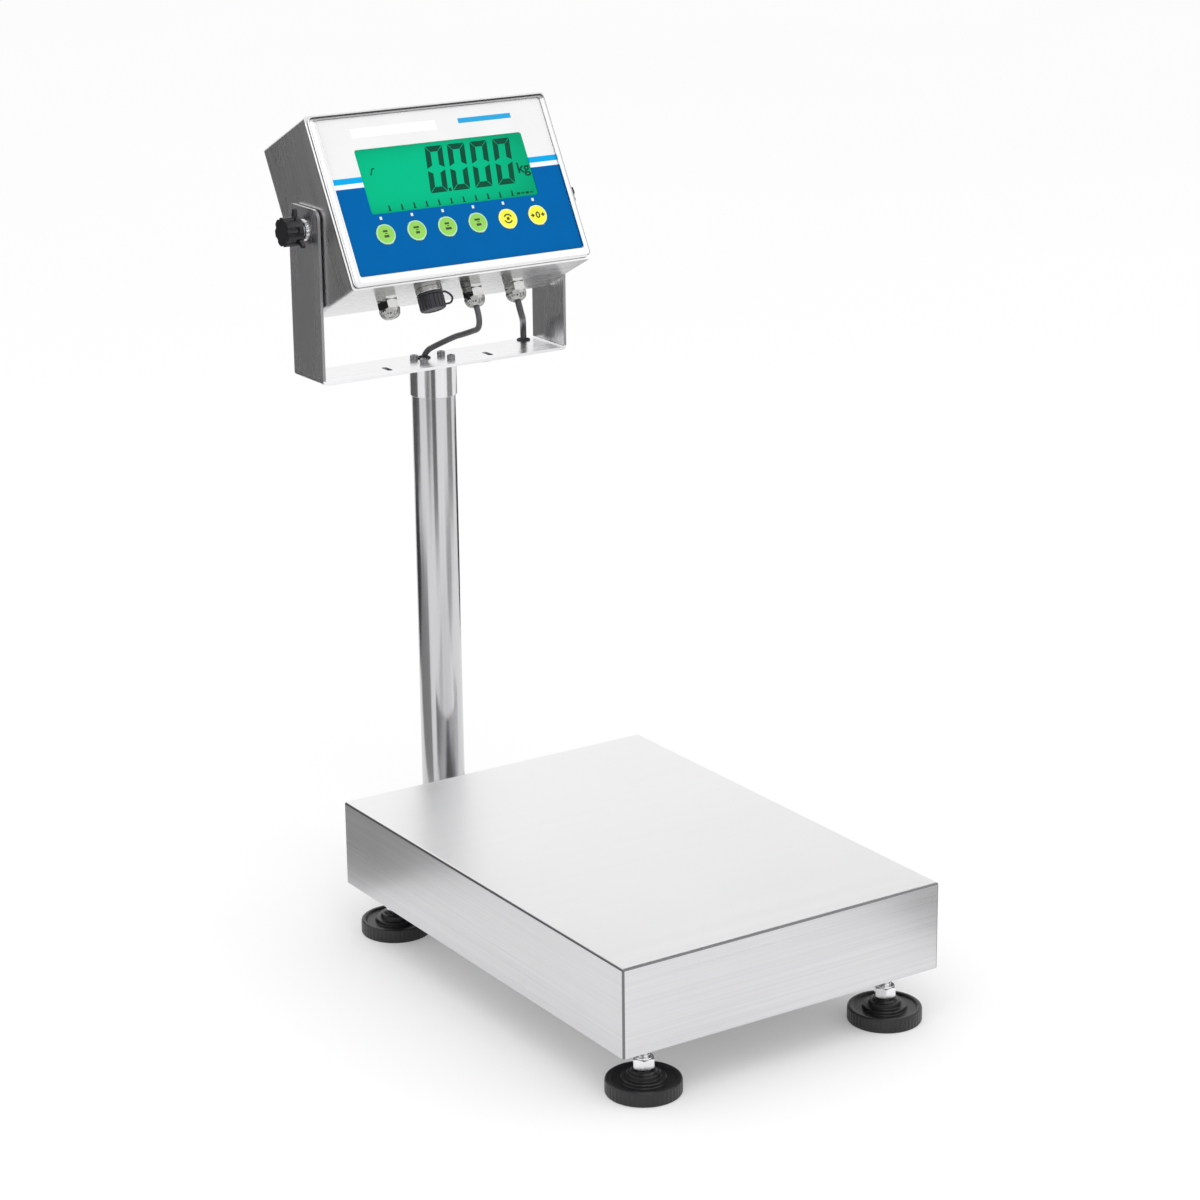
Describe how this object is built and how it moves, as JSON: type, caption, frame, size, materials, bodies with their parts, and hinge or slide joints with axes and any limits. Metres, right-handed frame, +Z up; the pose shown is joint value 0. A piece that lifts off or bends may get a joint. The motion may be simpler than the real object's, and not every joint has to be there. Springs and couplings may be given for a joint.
{
  "type": "bench scale",
  "caption": "Bench scale with a stainless platform on levelling feet and a tilting digital indicator in a U bracket on a round column.",
  "frame": {"origin": "centre of the footprint's bounding box on the floor, under the feet", "axes": "+Z up along the column, +X to the user's right across the platform, the user's side at -Y"},
  "size_m": [0.3, 0.5958, 0.6825],
  "materials": {
    "stainless_sheet": "fine brushed stainless",
    "frame_steel": "satin silver powder coat",
    "column_steel": "polished stainless tube",
    "turned_steel": "turned and plated",
    "fastener": "bright zinc",
    "cell_alloy": "clear anodised",
    "rubber": "moulded black",
    "soft_bumper": "moulded black",
    "level_vial": "clear with tinted fluid",
    "knob_plastic": "fine grained black",
    "front_film": "printed satin film",
    "display": "reflective grey-green",
    "diffuser": "milky",
    "board": "laminate",
    "battery": "wrapped cells",
    "key_green": "soft green",
    "key_yellow": "soft yellow",
    "gland_metal": "nickel plated brass",
    "cap_plastic": "moulded black",
    "cable_jacket": "smooth dark grey jacket",
    "adapter_plastic": "fine grained black"
  },
  "bodies": {
    "base": {"base_frame": "frame_steel", "foot_lock_nuts": "fastener", "load_cell": "cell_alloy", "cell_spacer_lower": "frame_steel", "cell_bolts_lower": "fastener", "overload_stops": "fastener", "column_bracket": "stainless_sheet", "bracket_bolts": "fastener", "level_bubble": "level_vial", "column_tube": "column_steel", "flange_bolts": "fastener", "column_collar": "turned_steel", "web_bolts": "fastener", "web_grommets": "rubber", "indicator_bracket": "stainless_sheet", "load_cell_cable": "cable_jacket", "power_cable": "cable_jacket", "power_coil": "cable_jacket", "power_adapter": "adapter_plastic", "cable_clips": "knob_plastic"},
    "live_frame": {"pan_support": "frame_steel", "pan_bumpers": "soft_bumper", "cell_spacer_upper": "frame_steel", "cell_bolts_upper": "fastener"},
    "pan": {"weighing_pan": "stainless_sheet"},
    "indicator": {"housing": "stainless_sheet", "housing_gasket": "rubber", "bezel": "stainless_sheet", "housing_screws": "fastener", "front_overlay": "front_film", "lcd_panel": "display", "backlight": "diffuser", "main_board": "board", "battery_pack": "battery", "gland_bodies": "gland_metal", "gland_nuts": "gland_metal", "data_socket": "gland_metal", "cap_tether": "rubber", "pivot_bosses": "turned_steel", "serrated_washers": "fastener"},
    "left_knob": {"knob_left": "knob_plastic", "knob_stud_left": "fastener"},
    "right_knob": {"knob_right": "knob_plastic", "knob_stud_right": "fastener"},
    "dust_cap": {"data_cap": "cap_plastic"},
    "key_body_1": {"key_1": "key_green"},
    "key_body_2": {"key_2": "key_green"},
    "key_body_3": {"key_3": "key_green"},
    "key_body_4": {"key_4": "key_green"},
    "key_body_5": {"key_5": "key_yellow"},
    "key_body_6": {"key_6": "key_yellow"},
    "foot_front_left": {"foot_pad_front_left": "rubber", "foot_stud_front_left": "fastener"},
    "foot_front_right": {"foot_pad_front_right": "rubber", "foot_stud_front_right": "fastener"},
    "foot_rear_left": {"foot_pad_rear_left": "rubber", "foot_stud_rear_left": "fastener"},
    "foot_rear_right": {"foot_pad_rear_right": "rubber", "foot_stud_rear_right": "fastener"}
  },
  "joints": [
    {"name": "weigh", "type": "slide", "parent": "base", "child": "live_frame", "axis": [0, 0, 1], "range_m": [-0.0008, 0], "stiffness_N_per_m": 700000, "springref_m": 0.0001, "deforming": ["load_cell"]},
    {"name": "pan_lift", "type": "slide", "parent": "live_frame", "child": "pan", "axis": [0, 0, 1], "range_m": [0, 0.1]},
    {"name": "indicator_tilt", "type": "hinge", "parent": "base", "child": "indicator", "pos_m": [0, 0.2211, 0.589], "axis": [1, 0, 0], "range_deg": [-15, 20], "deforming": ["load_cell_cable", "power_cable"]},
    {"name": "left_knob_turn", "type": "hinge", "parent": "indicator", "child": "left_knob", "pos_m": [-0.13, 0.2211, 0.589], "axis": [1, 0, 0], "continuous": true},
    {"name": "right_knob_turn", "type": "hinge", "parent": "indicator", "child": "right_knob", "pos_m": [0.13, 0.2211, 0.589], "axis": [1, 0, 0], "continuous": true},
    {"name": "dust_cap_pull", "type": "slide", "parent": "indicator", "child": "dust_cap", "axis": [0, -0.4431, -0.8965], "range_m": [0, 0.014], "deforming": ["cap_tether"]},
    {"name": "key_press_1", "type": "slide", "parent": "indicator", "child": "key_body_1", "axis": [0, 0.8704, -0.4924], "range_m": [0, 0.0004], "stiffness_N_per_m": 2000, "springref_m": -0.0003},
    {"name": "key_press_2", "type": "slide", "parent": "indicator", "child": "key_body_2", "axis": [0, 0.8704, -0.4924], "range_m": [0, 0.0004], "stiffness_N_per_m": 2000, "springref_m": -0.0003},
    {"name": "key_press_3", "type": "slide", "parent": "indicator", "child": "key_body_3", "axis": [0, 0.8704, -0.4924], "range_m": [0, 0.0004], "stiffness_N_per_m": 2000, "springref_m": -0.0003},
    {"name": "key_press_4", "type": "slide", "parent": "indicator", "child": "key_body_4", "axis": [0, 0.8704, -0.4924], "range_m": [0, 0.0004], "stiffness_N_per_m": 2000, "springref_m": -0.0003},
    {"name": "key_press_5", "type": "slide", "parent": "indicator", "child": "key_body_5", "axis": [0, 0.8704, -0.4924], "range_m": [0, 0.0004], "stiffness_N_per_m": 2000, "springref_m": -0.0003},
    {"name": "key_press_6", "type": "slide", "parent": "indicator", "child": "key_body_6", "axis": [0, 0.8704, -0.4924], "range_m": [0, 0.0004], "stiffness_N_per_m": 2000, "springref_m": -0.0003},
    {"name": "foot_screw_front_left", "type": "slide", "parent": "base", "child": "foot_front_left", "axis": [0, 0, 1], "range_m": [-0.008, 0.004]},
    {"name": "foot_screw_front_right", "type": "slide", "parent": "base", "child": "foot_front_right", "axis": [0, 0, 1], "range_m": [-0.008, 0.004]},
    {"name": "foot_screw_rear_left", "type": "slide", "parent": "base", "child": "foot_rear_left", "axis": [0, 0, 1], "range_m": [-0.008, 0.004]},
    {"name": "foot_screw_rear_right", "type": "slide", "parent": "base", "child": "foot_rear_right", "axis": [0, 0, 1], "range_m": [-0.008, 0.004]}
  ]
}
